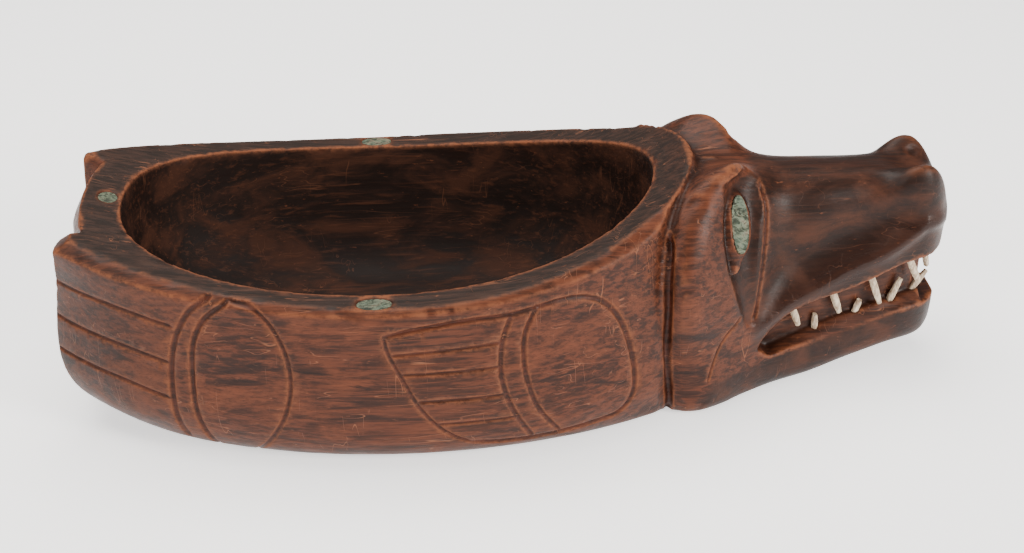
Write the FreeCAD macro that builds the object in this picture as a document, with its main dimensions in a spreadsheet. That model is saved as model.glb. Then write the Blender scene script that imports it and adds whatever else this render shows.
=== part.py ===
"""Carved wooden bowl in the form of a wolf, as a parametric FreeCAD document.

One block of wood holds the basin, the rim, the haunches, the neck and the head. Shell plaques lie in
pockets in the rim and in the eye sockets, each on a thin bed of pitch, and turned pegs stand in drilled
holes in the jaws as teeth. Millimetres; +X runs towards the nose, +Y to the wolf's left, +Z up. The origin
is at the middle of the box round the bowl, at the level of the table.
"""

import FreeCAD, Part
import math
import os

import Sketcher

Vector = FreeCAD.Vector
Rotation = FreeCAD.Rotation
Placement = FreeCAD.Placement

doc = FreeCAD.newDocument("wolf_bowl")

# ---------------------------------------------------------------------------------------------
# Driving dimensions
# ---------------------------------------------------------------------------------------------

DIMENSIONS = [
    # the whole bowl
    ("half_length", 217.5),
    ("middle_x", -48.0),        # where the hull and the basin are widest
    # the hull, level by level: height, half width, reach towards the nose and towards the tail from
    # the middle, and where the tail is cut off
    ("base_z", 0.0), ("base_half", 74.0), ("base_nose", 165.0), ("base_reach", 135.0), ("base_tail", 180.0),
    ("heel_z", 3.5), ("heel_half", 83.6), ("heel_nose", 167.0), ("heel_reach", 158.0), ("heel_tail", 190.0),
    ("side_z", 9.0), ("side_half", 88.2), ("side_nose", 163.0), ("side_reach", 168.0), ("side_tail", 198.0),
    ("flank_z", 20.0), ("flank_half", 91.6), ("flank_nose", 164.5), ("flank_reach", 181.0),
    ("flank_tail", 209.5),
    ("belly_z", 45.0), ("belly_half", 92.2), ("belly_nose", 164.0), ("belly_reach", 187.0),
    ("belly_tail", 217.5),
    ("waist_z", 87.0), ("waist_half", 90.5), ("waist_nose", 150.0), ("waist_reach", 186.0),
    ("waist_tail", 212.5),
    ("crown_z", 125.0), ("crown_half", 88.0), ("crown_nose", 132.0), ("crown_reach", 185.0),
    ("crown_tail", 208.5),
    # the sheer of the rim: lowest point, and how fast it climbs each way
    ("rim_z", 87.0), ("rim_low_x", -61.0),
    ("sheer_tail", 0.00085), ("sheer_nose", 0.0010), ("sheer_prow", 2.0e-8),
    ("prow_x", 86.5), ("valley_x", 103.0), ("valley_z", 112.6),
    # the basin
    ("basin_x", -58.0), ("basin_reach", 128.0), ("basin_half", 74.5), ("basin_floor", 14.0),
    # the notch between the haunches
    ("notch_half", 37.0), ("notch_x", -208.0), ("notch_bow", 10.0), ("notch_lean", 9.0),
    # eye sockets and the eyes in them
    ("socket_x", 112.5), ("socket_y", 49.0), ("socket_z", 93.0), ("socket_long", 12.0), ("socket_high", 34.0),
    ("socket_deep", 11.0),
    ("eye_x", 107.0), ("eye_y", 39.0), ("eye_z", 96.5), ("eye_long", 14.0), ("eye_short", 5.2),
    ("lid_x", 105.2), ("lid_y", 36.5), ("lid_z", 94.6),
    ("lid_long", 17.0), ("lid_short", 8.8), ("lid_high", 5.6),
    # shell plaques and their pitch
    ("shell_thick", 1.2), ("pitch_thick", 0.6), ("plaque_long", 8.0), ("plaque_short", 4.7),
    ("plaque_inset", 6.6), ("tail_plaque_x", -193.0), ("tail_plaque_long", 5.4), ("tail_plaque_short", 4.6),
    ("plaque_drop", 0.7),
    # the teeth
    ("tooth_r", 1.85), ("tooth_tip_r", 1.5), ("tooth_root", 7.0),
]

sheet = doc.addObject("Spreadsheet::Sheet", "Dimensions")
for row, (alias, value) in enumerate(DIMENSIONS, start=1):
    sheet.set("A%d" % row, alias)
    sheet.set("B%d" % row, repr(value))
    sheet.setAlias("B%d" % row, alias)
doc.recompute()


def size(alias):
    return float(sheet.get(alias))


# ---------------------------------------------------------------------------------------------
# Small makers
# ---------------------------------------------------------------------------------------------

UPRIGHT = Rotation(Vector(1, 0, 0), 90)      # a sketch drawn in x, y stands in the X, Z plane
ACROSS = Rotation(Vector(1, 1, 1), 120)      # a sketch drawn in x, y stands in the Y, Z plane


def sketch_of(name, curves, placement=Placement()):
    """A sketch that holds the given curves, which close on each other."""
    sketch = doc.addObject("Sketcher::SketchObject", name)
    sketch.addGeometry(curves)
    sketch.Placement = placement
    return sketch


def spline(points, closed=False):
    curve = Part.BSplineCurve()
    curve.interpolate(Points=points, PeriodicFlag=closed)
    return curve


def polygon(points):
    return [Part.LineSegment(a, b) for a, b in zip(points, points[1:] + points[:1])]


def bind(feature, **cells):
    """Bind properties to expressions, with Base_x standing for Placement.Base.x and so on."""
    for prop, text in cells.items():
        path = prop.replace("Base_", "Placement.Base.")
        feature.setExpression(path, text)
    return feature


def loft(name, sketches):
    made = doc.addObject("Part::Loft", name)
    made.Sections = sketches
    made.Solid = True
    return made


def extrusion(name, sketch, direction, length, both_ways=False):
    made = doc.addObject("Part::Extrusion", name)
    made.Base = sketch
    made.DirMode = "Custom"
    made.Dir = direction
    made.Solid = True
    made.Symmetric = both_ways
    made.setExpression("LengthFwd", length)
    return made


def ellipsoid(name, cells, rotation, sign=1):
    """A full ellipsoid bound to the cells PREFIX_x, _y, _z and its three half sizes."""
    made = doc.addObject("Part::Ellipsoid", name)
    made.Angle1, made.Angle2, made.Angle3 = -90, 90, 360
    prefix, along, across, up = cells
    made.setExpression("Radius2", "Dimensions.%s_%s" % (prefix, along))
    made.setExpression("Radius3", "Dimensions.%s_%s" % (prefix, across))
    made.setExpression("Radius1", "Dimensions.%s_%s" % (prefix, up))
    made.Placement = Placement(Vector(), rotation)
    return bind(made, Base_x="Dimensions.%s_x" % prefix,
                Base_y="%d * Dimensions.%s_y" % (sign, prefix), Base_z="Dimensions.%s_z" % prefix)


def fuse(name, shapes):
    """Join the shapes to the first of them, one after another."""
    joined = shapes[0]
    for number, shape in enumerate(shapes[1:], 1):
        step = doc.addObject("Part::Fuse", "%s_%d" % (name, number))
        step.Base, step.Tool = joined, shape
        joined = step
    return joined


def together(name, shapes):
    made = doc.addObject("Part::Compound", name)
    made.Links = shapes
    return made


def cut(name, base, tool):
    made = doc.addObject("Part::Cut", name)
    made.Base, made.Tool = base, tool
    return made


# ---------------------------------------------------------------------------------------------
# The hull: outlines stacked from the table to above the rim, cut to the sheer of the rim
# ---------------------------------------------------------------------------------------------

HULL_LEVELS = ["base", "heel", "side", "flank", "belly", "waist", "crown"]
SIDE_STEPS = 8                                # points along half an outline
NOSE_FULLNESS = 1.9                           # 2 is an ellipse; less is more pointed
TAIL_FULLNESS = 2.1


def hull_outline(level):
    """Points round one level, from the right haunch round the nose end to the left haunch."""
    middle, half = size("middle_x"), size(level + "_half")
    nose, reach = size(level + "_nose"), size(level + "_reach")
    side = []
    sweep = math.acos(((size(level + "_tail") + middle) / reach) ** (TAIL_FULLNESS / 2))
    for i in range(SIDE_STEPS // 2):          # the haunch, up to the widest point
        a = sweep + (math.pi / 2 - sweep) * i / (SIDE_STEPS // 2)
        side.append((middle - reach * math.cos(a) ** (2 / TAIL_FULLNESS),
                     half * math.sin(a) ** (2 / TAIL_FULLNESS)))
    for i in range(SIDE_STEPS):               # the flank, up to the nose end
        a = math.pi / 2 * (1 - i / SIDE_STEPS)
        side.append((middle + nose * math.cos(a) ** (2 / NOSE_FULLNESS),
                     half * math.sin(a) ** (2 / NOSE_FULLNESS)))
    return ([Vector(x, -y, 0) for x, y in side] + [Vector(middle + nose, 0, 0)]
            + [Vector(x, y, 0) for x, y in reversed(side)])


def hull_sketch(level):
    points = hull_outline(level)
    sketch = sketch_of("outline_" + level, [spline(points), Part.LineSegment(points[-1], points[0])])
    return bind(sketch, Base_z="Dimensions.%s_z" % level)


def rim_height(x):
    """The sheer of the rim: lowest amidships, climbing to the tail and more steeply to the prow."""
    run = x - size("rim_low_x")
    if run < 0:
        return size("rim_z") + size("sheer_tail") * run ** 2
    return size("rim_z") + size("sheer_nose") * run ** 2 + size("sheer_prow") * run ** 4


def sheer_cutter():
    """Everything above the rim, down the prow and into the valley behind the ears."""
    tail, over = -size("half_length") - 20.0, size("crown_z") + 20.0
    prow = size("prow_x")
    steps = 10
    stations = [tail + (prow - tail) * i / steps for i in range(steps + 1)]
    sheer = [Vector(x, rim_height(x), 0) for x in stations]
    valley = Vector(size("valley_x") + 20.0, size("valley_z") - 6.0, 0)
    far_top, near_top = Vector(valley.x, over, 0), Vector(tail, over, 0)
    curves = [spline(sheer), Part.LineSegment(sheer[-1], valley), Part.LineSegment(valley, far_top),
              Part.LineSegment(far_top, near_top), Part.LineSegment(near_top, sheer[0])]
    sketch = sketch_of("sheer_line", curves, Placement(Vector(), UPRIGHT))
    return extrusion("above_the_rim", sketch, Vector(0, 1, 0), "Dimensions.belly_half * 3", True)


hull_block = loft("hull_block", [hull_sketch(level) for level in HULL_LEVELS])
hull = cut("hull", hull_block, sheer_cutter())

# ---------------------------------------------------------------------------------------------
# The basin: ovals that shrink towards the floor
# ---------------------------------------------------------------------------------------------

BASIN_LEVELS = [(1.0, 1.36), (1.0, 0.87), (0.965, 0.50), (0.86, 0.22), (0.68, 0.09), (0.40, 0.0)]
BASIN_STEPS = 24
BASIN_FULLNESS = {True: 2.05, False: 2.4}     # towards the nose, towards the tail


def basin_sketch(number, share, level):
    """An oval at one level. Level counts from the floor, at 0, to the lowest point of the rim, at 1."""
    points = []
    for i in range(BASIN_STEPS):
        a = 2 * math.pi * i / BASIN_STEPS
        c, s = math.cos(a), math.sin(a)
        power = 2 / BASIN_FULLNESS[c > 0]
        points.append(Vector(size("basin_reach") * share * math.copysign(abs(c) ** power, c),
                             size("basin_half") * share * math.copysign(abs(s) ** power, s), 0))
    sketch = sketch_of("basin_outline_%d" % number, [spline(points, closed=True)])
    height = "Dimensions.basin_floor + %r * (Dimensions.rim_z - Dimensions.basin_floor)" % level
    return bind(sketch, Base_x="Dimensions.basin_x", Base_z=height)


basin = loft("basin", [basin_sketch(i, share, level) for i, (share, level) in enumerate(BASIN_LEVELS)])

# ---------------------------------------------------------------------------------------------
# The head: cross sections from inside the hull to the tip of the nose
# ---------------------------------------------------------------------------------------------

# Half of each section, from the middle of the underside round the jaw, the lip or cheek and the temple
# to the ear or nostril, then down to the middle of the brow: (y, z) after the station's x.
HEAD_SECTIONS = [
    (68.0, [(0, 2), (38, 2), (52, 4), (57, 24), (59, 43), (60, 60), (57, 75), (50, 88), (41, 96),
            (30, 101), (15, 103), (0, 103)]),
    (74.0, [(0, 0.8), (44, 0.9), (54.5, 2), (58.5, 18), (60, 42), (62.5, 60), (61.5, 76), (57, 91), (48, 102),
            (36, 107), (18, 108), (0, 108)]),
    (82.0, [(0, 0.8), (46, 0.8), (56, 1.6), (60, 16), (60.5, 40), (63, 60), (62.5, 76), (57, 93), (48, 106),
            (37, 113), (18, 111), (0, 110.5)]),
    (90.0, [(0, 0.8), (46, 0.8), (56, 1.6), (59.5, 16), (58, 40), (60, 58), (59, 75), (54, 93), (46, 107),
            (35, 118), (16, 113), (0, 111.5)]),
    (98.0, [(0, 0.8), (43, 0.8), (53, 1.6), (56.5, 16), (54, 38), (56, 55), (54.5, 72), (50, 90), (42.5, 105),
            (32.5, 121), (15, 114.5), (0, 112.2)]),
    (104.0, [(0, 0.8), (40.5, 0.8), (50, 1.7), (53, 16), (51, 37), (53, 52), (50.5, 71), (45, 91), (37, 107),
             (27.5, 121.5), (13, 115), (0, 112.2)]),
    (111.0, [(0, 0.8), (36.5, 0.8), (45.8, 2), (48.8, 14), (47.5, 32), (48.5, 46), (45.5, 63), (40, 83),
             (31, 102), (20, 117), (10, 114), (0, 111.5)]),
    (119.0, [(0, 0.8), (32.5, 0.8), (41.5, 2.3), (44.5, 13), (43, 28), (43.5, 41), (41, 57), (37, 75),
             (31, 94), (22, 107), (12, 110.5), (0, 110.3)]),
    (130.0, [(0, 0.8), (28, 0.9), (36, 2.6), (39.5, 13), (38.5, 26), (39, 38), (36.5, 54), (30.5, 71),
             (26.5, 87), (21, 100), (12, 107), (0, 108.9)]),
    (147.0, [(0, 1.4), (23, 1.5), (30.5, 3.8), (34, 14), (34, 27), (34.5, 40), (34, 55), (27.5, 70),
             (24, 86), (20, 99), (11.5, 106.3), (0, 108.5)]),
    (166.0, [(0, 6.4), (19.5, 6.5), (26.8, 9), (30, 19), (29.5, 32), (30, 46), (30.3, 63), (24.5, 76),
             (21.5, 89), (18.5, 99.5), (11, 106.3), (0, 108.4)]),
    (183.0, [(0, 10.6), (17, 10.7), (23, 13), (26.3, 23), (26, 36), (26.5, 54), (27, 72), (22.5, 83),
             (20.8, 92), (18.7, 101), (11.5, 107), (0, 107.8)]),
    (195.0, [(0, 13.2), (14.5, 13.3), (20.5, 15.6), (23.8, 25), (23.5, 38), (24, 60), (24.8, 80), (22.8, 91),
             (22.3, 101), (17.2, 112), (7.5, 107.5), (0, 106)]),
    (203.0, [(0, 13.6), (12.5, 13.7), (17.8, 16), (21.2, 25), (21.5, 38), (22.5, 60), (23, 80), (22.2, 92),
             (21.6, 103), (16.8, 113), (7.5, 106.8), (0, 105)]),
    (210.0, [(0, 14.6), (9.5, 14.7), (14.5, 17), (17.5, 25), (17.5, 37), (18.5, 60), (19.5, 78),
             (19.2, 90), (18, 99.5), (14.2, 106.5), (6.6, 103), (0, 102)]),
    (215.0, [(0, 17), (6, 17.2), (9.5, 19.3), (12, 27), (12, 37), (12.5, 60), (13.5, 74), (13.2, 84),
             (12, 91.5), (9.3, 96), (4.5, 95.5), (0, 95)]),
    (217.5, [(0, 22), (2.5, 22.3), (4.5, 24), (6, 29), (7, 38), (7.5, 58), (8, 70), (7.8, 77), (7, 82),
             (5, 85), (2.5, 85.5), (0, 85.5)]),
]


def head_sketch(number, station, half):
    points = ([Vector(y, z, 0) for y, z in half] + [Vector(-y, z, 0) for y, z in reversed(half[1:-1])])
    place = Placement(Vector(station, 0, 0), ACROSS)
    return sketch_of("head_section_%d" % number, [spline(points, closed=True)], place)


head_block = loft("head_block", [head_sketch(i, *section) for i, section in enumerate(HEAD_SECTIONS)])

SIDES = {"right": -1, "left": 1}
STRAIGHT = Rotation()


def eye_frame(sign):
    """Turns z to face out of the eye socket and x along the eye, from its outer to its inner corner."""
    along = Vector(0, -0.6 * sign, 0.8)
    facing = Vector(0.49, 0.70 * sign, 0.53)
    facing = facing - along * facing.dot(along)
    return Rotation(along, Vector(), facing.normalize(), "XZY")


sockets, lids = [], []
for side, sign in SIDES.items():
    sockets.append(ellipsoid("socket_" + side, ("socket", "high", "long", "deep"), eye_frame(sign), sign))
    lids.append(ellipsoid("lid_" + side, ("lid", "long", "short", "high"), eye_frame(sign), sign))

table = doc.addObject("Part::Box", "table")
table.setExpression("Length", "3 * Dimensions.half_length")
table.setExpression("Width", "3 * Dimensions.belly_half")
table.setExpression("Height", "Dimensions.basin_floor")
bind(table, Base_x="-1.5 * Dimensions.half_length", Base_y="-1.5 * Dimensions.belly_half",
     Base_z="-Dimensions.basin_floor")

head = fuse("hull_and_head", [hull, head_block])
planed = cut("planed_flat_below", head, table)
socketed = cut("with_sockets", planed, together("sockets", sockets))
lidded = fuse("with_lids", [socketed] + lids)

# ---------------------------------------------------------------------------------------------
# The notch at the tail and the mouth
# ---------------------------------------------------------------------------------------------

tail_x = -size("half_length") - 10.0


def notch_sketch(name, deepest, height):
    """The notch in plan: straight sides between the haunches and a curved back that follows the basin."""
    side, corner_x = size("notch_half"), deepest + size("notch_bow")
    corners = [Vector(corner_x, -side, 0), Vector(tail_x, -side, 0),
               Vector(tail_x, side, 0), Vector(corner_x, side, 0)]
    back = Part.Arc(corners[3], Vector(deepest, 0, 0), corners[0])
    lines = [Part.LineSegment(a, b) for a, b in zip(corners, corners[1:])]
    return sketch_of(name, lines + [back], Placement(Vector(0, 0, height), Rotation()))


notch_x = size("notch_x")
notch = loft("notch", [notch_sketch("notch_foot", notch_x - size("notch_lean"), 12.0),
                       notch_sketch("notch_head", notch_x + 2.0, 135.0)])

UPPER_LIP = [(120, 27), (124, 34), (138, 45.5), (158, 51), (179, 57), (198, 63.5), (211, 65), (226, 70)]
LOWER_LIP = [(226, 37), (211, 36.5), (194, 34), (168, 28), (142, 23), (127, 21.5)]
# the gums at each station: the rib's half width, the gum's edge and height, the lip's edge and height
GUMS = [
    (114, 34.0, 36.0, 18.0, 42.6, 19.0),
    (133, 29.0, 31.0, 24.0, 37.8, 22.1),
    (159, 23.2, 26.5, 32.0, 31.3, 26.2),
    (185, 17.5, 21.0, 38.6, 26.4, 32.0),
    (198, 14.0, 17.0, 40.0, 24.3, 34.7),
    (208, 8.0, 12.0, 41.0, 19.0, 36.3),
]


def flat(points):
    return [Vector(a, b, 0) for a, b in points]


upper, lower = flat(UPPER_LIP), flat(LOWER_LIP)
gape_sketch = sketch_of("gape_side", [
    spline(upper), Part.LineSegment(upper[-1], lower[0]), spline(lower),
    Part.LineSegment(lower[-1], upper[0])], Placement(Vector(), UPRIGHT))
gape = extrusion("gape", gape_sketch, Vector(0, 1, 0), "Dimensions.belly_half * 2", True)

def gum_section(station, rib, gum, gum_z, lip, lip_z):
    """Across the gums: they climb from the lip to a step, and a rib stands from there to the palate."""
    side = [Vector(rib, size("rim_z"), 0), Vector(rib, gum_z + 0.6, 0), Vector(gum, gum_z, 0),
            Vector(lip, lip_z, 0), Vector(lip + 2.0, lip_z - 2.2, 0), Vector(lip + 2.0, lip_z - 12.0, 0)]
    outline = polygon(side + [Vector(-point.x, point.y, 0) for point in reversed(side)])
    return sketch_of("gum_section_%d" % station, outline, Placement(Vector(station, 0, 0), ACROSS))


gums = loft("gums", [gum_section(*row) for row in GUMS])
gums.Ruled = True
mouth = cut("mouth", gape, gums)

# ---------------------------------------------------------------------------------------------
# Shell plaques: a pocket, a bed of pitch and a thin plate of shell in each
# ---------------------------------------------------------------------------------------------


def oval_plate(label, cells, placement, low, high):
    """An elliptical plate between two heights along its own z, given as expressions."""
    outline = doc.addObject("Part::Ellipse", label + "_outline")
    outline.setExpression("MajorRadius", "Dimensions.%s" % cells[0])
    outline.setExpression("MinorRadius", "Dimensions.%s" % cells[1])
    outline.setExpression("Placement.Base.z", low)
    plate = extrusion(label, outline, Vector(0, 0, 1), "%s - (%s)" % (high, low))
    plate.Placement = placement
    return plate


def inlay(name, cells, placement, top):
    """One plaque. Its heights are measured from the surface it is let into; top is that of the shell."""
    under = "%s - Dimensions.shell_thick" % top
    bed = "%s - Dimensions.shell_thick - Dimensions.pitch_thick" % top
    pockets.append(oval_plate(name + "_pocket", cells, placement, bed, "8"))
    nodes.append(oval_plate(name + "_pitch", cells, placement, bed, under))
    nodes.append(oval_plate(name + "_shell", cells, placement, under, top))


pockets, nodes = [], []
rim_x = size("rim_low_x") - 4.5
for side, sign in SIDES.items():
    edge = size("waist_half") - size("plaque_short") - size("plaque_inset") + 3.2
    inlay("rim_" + side, ("plaque_long", "plaque_short"),
          Placement(Vector(rim_x, sign * edge, rim_height(rim_x)), STRAIGHT), "-Dimensions.plaque_drop")
    inlay("eye_" + side, ("eye_long", "eye_short"),
          Placement(Vector(size("eye_x"), sign * size("eye_y"), size("eye_z")), eye_frame(sign)), "0.3")

plaque_x = size("tail_plaque_x")
slope = 2 * size("sheer_tail") * (size("rim_low_x") - plaque_x)
tilt = Rotation(Vector(0, 1, 0), math.degrees(math.atan(slope))) * Rotation(Vector(0, 0, 1), 90)
inlay("rim_tail", ("tail_plaque_long", "tail_plaque_short"),
      Placement(Vector(plaque_x, 0, rim_height(plaque_x)), tilt), "-Dimensions.plaque_drop")

# ---------------------------------------------------------------------------------------------
# Teeth: tapered pegs driven into drilled holes
# ---------------------------------------------------------------------------------------------

# for the left side: where a peg leaves the wood, and its tip
TEETH = [
    ("upper_1", (138.6, 32.0, 44.5), (142.5, 31.0, 33.8)),
    ("upper_2", (159.3, 27.0, 50.0), (164.3, 26.0, 37.1)),
    ("upper_3", (179.2, 23.5, 55.0), (185.3, 22.5, 39.5)),
    ("upper_4", (199.2, 19.5, 61.4), (206.3, 15.8, 46.9)),
    ("upper_front", (209.5, 8.0, 62.4), (213.0, 4.5, 50.5)),
    ("lower_1", (152.1, 26.6, 28.6), (151.6, 26.8, 36.9)),
    ("lower_2", (173.1, 22.0, 34.2), (175.0, 22.0, 41.2)),
    ("lower_3", (192.1, 17.5, 38.8), (196.1, 17.6, 50.6)),
    ("lower_front", (205.5, 10.0, 40.5), (212.0, 8.3, 49.0)),
]

teeth = []
for tooth_name, foot, tip in TEETH:
    for side, sign in SIDES.items():
        peg = doc.addObject("Part::Cone", "tooth_%s_%s" % (tooth_name, side))
        start = Vector(foot[0], sign * foot[1], foot[2])
        shown = Vector(tip[0], sign * tip[1], tip[2]) - start
        peg.setExpression("Radius1", "Dimensions.tooth_r")
        peg.setExpression("Radius2", "Dimensions.tooth_tip_r")
        peg.setExpression("Height", "%.3f + Dimensions.tooth_root" % shown.Length)
        direction = Vector(shown).normalize()
        buried_end = start - direction * size("tooth_root")
        peg.Placement = Placement(buried_end, Rotation(Vector(0, 0, 1), direction))
        teeth.append(peg)
nodes += teeth

# ---------------------------------------------------------------------------------------------
# The finished block, checks and export
# ---------------------------------------------------------------------------------------------

opened = cut("opened", lidded, together("openings", [basin, notch, mouth]))
pocketed = cut("pocketed", opened, together("pocket_tools", pockets))
body = cut("bowl_body", pocketed, together("tooth_holes", teeth))
nodes.insert(0, body)
doc.recompute()

for item in doc.Objects:
    if any(word in state for state in item.State for word in ("Invalid", "Error")):
        raise RuntimeError("%s is in the state %s" % (item.Label, item.State))

os.makedirs("parts", exist_ok=True)
for node in nodes:
    if node.Shape.isNull() or not node.Shape.isValid():
        raise RuntimeError("%s has no valid shape" % node.Label)
    if len(node.Shape.Solids) != 1:
        raise RuntimeError("%s is %d solids" % (node.Label, len(node.Shape.Solids)))
    node.Shape.exportStep(os.path.join("parts", node.Label + ".step"))
    print(node.Label, round(node.Shape.Volume), "mm3")
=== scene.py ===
import math

import bpy
import numpy as np
from mathutils import Matrix, Vector


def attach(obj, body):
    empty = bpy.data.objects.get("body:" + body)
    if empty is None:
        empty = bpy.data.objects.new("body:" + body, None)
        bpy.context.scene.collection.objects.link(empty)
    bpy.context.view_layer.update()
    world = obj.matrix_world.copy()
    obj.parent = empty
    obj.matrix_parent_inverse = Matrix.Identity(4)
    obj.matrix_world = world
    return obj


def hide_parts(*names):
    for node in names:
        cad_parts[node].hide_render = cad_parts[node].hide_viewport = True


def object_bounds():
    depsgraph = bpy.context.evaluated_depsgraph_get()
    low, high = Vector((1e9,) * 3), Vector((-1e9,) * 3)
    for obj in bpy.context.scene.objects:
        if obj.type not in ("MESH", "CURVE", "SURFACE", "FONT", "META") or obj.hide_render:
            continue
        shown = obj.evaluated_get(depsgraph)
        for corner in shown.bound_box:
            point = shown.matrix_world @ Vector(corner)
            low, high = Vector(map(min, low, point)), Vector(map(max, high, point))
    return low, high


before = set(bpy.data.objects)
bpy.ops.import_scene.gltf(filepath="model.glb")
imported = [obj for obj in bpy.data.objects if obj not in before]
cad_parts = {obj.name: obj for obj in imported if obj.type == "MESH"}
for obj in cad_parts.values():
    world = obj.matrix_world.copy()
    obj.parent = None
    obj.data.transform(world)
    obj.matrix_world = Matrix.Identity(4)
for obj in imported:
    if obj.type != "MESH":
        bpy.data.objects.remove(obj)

cad_box = [list(corner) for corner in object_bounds()]
bpy.ops.object.select_all(action="DESELECT")

# ---------------------------------------------------------------------------------------------
# Camera, floor and light
# A camera above the near flank, a plain pale floor that glows faintly, and soft light from three
# large, slightly warm panels and a white sky.
# ---------------------------------------------------------------------------------------------

camera_data = bpy.data.cameras.new("camera")
camera_data.lens = 55.3
camera = bpy.data.objects.new("camera", camera_data)
camera.location = (-0.0444, -0.6796, 0.4581)
camera.rotation_euler = (math.radians(59.0), 0, math.radians(-3.88))
bpy.context.scene.collection.objects.link(camera)
bpy.context.scene.camera = camera

bpy.ops.mesh.primitive_plane_add(size=16, location=(0, 0, -0.0003))
floor = bpy.context.object
floor.name = "floor"
paint = bpy.data.materials.new("pale_floor")
paint.use_nodes = True
shader = paint.node_tree.nodes["Principled BSDF"]
shader.inputs["Base Color"].default_value = (0.9, 0.9, 0.9, 1)
shader.inputs["Roughness"].default_value = 0.95
shader.inputs["Specular IOR Level"].default_value = 0.1
shader.inputs["Emission Color"].default_value = (1, 1, 1, 1)
shader.inputs["Emission Strength"].default_value = 1.0
floor.data.materials.append(paint)


def panel(name, place, aim, size, power):
    """A large soft light panel, faintly warm, that faces a point on the bowl."""
    data = bpy.data.lights.new(name, "AREA")
    data.shape = "RECTANGLE"
    data.size, data.size_y = size
    data.energy = power
    data.color = (1, 0.95, 0.9)
    light = bpy.data.objects.new(name, data)
    light.location = place
    light.rotation_euler = (Vector(aim) - Vector(place)).to_track_quat("-Z", "Y").to_euler()
    bpy.context.scene.collection.objects.link(light)


panel("overhead", place=(-0.25, 0.25, 1.25), aim=(0, 0, 0.05), size=(1.3, 0.9), power=25)
panel("front_left", place=(-1.1, -1.0, 0.9), aim=(0, 0, 0.05), size=(0.9, 0.9), power=14)
panel("front_right", place=(1.2, -0.9, 0.7), aim=(0.05, 0, 0.06), size=(0.4, 0.7), power=32)
world = bpy.data.worlds.new("studio")
world.use_nodes = True
world.node_tree.nodes["Background"].inputs["Color"].default_value = (1, 1, 1, 1)
world.node_tree.nodes["Background"].inputs["Strength"].default_value = 0.38
bpy.context.scene.world = world

# ---------------------------------------------------------------------------------------------
# Bowl and wolf's head
# One block of close-grained hardwood, hewn, hollowed and finished with a knife, then oiled and
# handled until its edges wore bright. The rough block is the CAD body; its facets, sockets, brows,
# lips, bevels and lines are cut into a copy of it here, in the order a carver cuts them.
# ---------------------------------------------------------------------------------------------

MM = 0.001


def take_up(piece):
    """Makes a piece the only selected one, ready for an operator."""
    bpy.ops.object.select_all(action="DESELECT")
    piece.select_set(True)
    bpy.context.view_layer.objects.active = piece


def weld(piece):
    """Merges the loose corners of a copied CAD mesh and drops the shading that came with it."""
    take_up(piece)
    bpy.ops.mesh.customdata_custom_splitnormals_clear()
    bpy.ops.object.mode_set(mode="EDIT")
    bpy.ops.mesh.select_all(action="SELECT")
    bpy.ops.mesh.remove_doubles(threshold=1e-6)
    bpy.ops.object.mode_set(mode="OBJECT")


def rework(piece, grain):
    """Turns a body of joined lumps into one skin with faces of one size, in millimetres."""
    take_up(piece)
    piece.data.remesh_voxel_size = grain * MM
    piece.data.remesh_voxel_adaptivity = 0
    bpy.ops.object.voxel_remesh()


def corners_of(piece):
    """The corners of a mesh, in millimetres."""
    flat = np.empty(len(piece.data.vertices) * 3)
    piece.data.vertices.foreach_get("co", flat)
    return flat.reshape(-1, 3) / MM


def set_corners(piece, points):
    """Moves the corners of a mesh to places in millimetres."""
    piece.data.vertices.foreach_set("co", (points * MM).ravel())
    piece.data.update()


def normals_of(piece):
    """The direction in which the surface faces at each corner."""
    flat = np.empty(len(piece.data.vertices) * 3)
    piece.data.vertices.foreach_get("normal", flat)
    return flat.reshape(-1, 3)


def edges_of(piece):
    """The pairs of corners that the edges of a mesh join."""
    flat = np.empty(len(piece.data.edges) * 2, dtype=np.int64)
    piece.data.edges.foreach_get("vertices", flat)
    return flat.reshape(-1, 2)


def neighbour_mean(values, edges, rounds=1, share=1.0):
    """Moves each corner's value towards the mean of its neighbours'."""
    count = np.bincount(edges.ravel(), minlength=len(values)).astype(float)
    count[count == 0] = 1
    values = values.copy()
    for _ in range(rounds):
        total = np.zeros_like(values)
        columns = values.reshape(len(values), -1)
        sums = total.reshape(len(values), -1)
        for column in range(columns.shape[1]):
            sums[:, column] = np.bincount(edges[:, 0], columns[edges[:, 1], column], len(values))
            sums[:, column] += np.bincount(edges[:, 1], columns[edges[:, 0], column], len(values))
        mean = sums / count[:, None]
        values = (columns + share * (mean - columns)).reshape(values.shape)
    return values


def ease(piece, rounds, share=0.5):
    """Rubs a piece down: its corners move towards their neighbours."""
    set_corners(piece, neighbour_mean(corners_of(piece), edges_of(piece), rounds, share))


def smooth(low, high, value):
    """0 below low, 1 above high and an even ramp between."""
    t = np.clip((value - low) / (high - low), 0, 1)
    return t * t * (3 - 2 * t)


def pare(points, depth, rounds=3):
    """Cuts away all that stands outside a surface; depth says how far outside it each point is."""
    step = 0.05
    for _ in range(rounds):
        outside = depth(points)
        hit = outside > 0
        if not hit.any():
            return points
        there = points[hit]
        slope = np.empty_like(there)
        for axis in range(3):
            nudge = np.zeros(3)
            nudge[axis] = step
            slope[:, axis] = (depth(there + nudge) - depth(there - nudge)) / (2 * step)
        size = np.maximum((slope ** 2).sum(axis=1), 1e-6)
        points[hit] = there - slope * (outside[hit] / size)[:, None]
    return points


# The rim's height along the bowl, and how far a point in plan lies outside the hull's outline there.

WAIST_X = -61.0
MIDDLE_X = -48.0
HULL_HALF, TAIL_REACH, NOSE_REACH = 90.2, 186.5, 146.0


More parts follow.
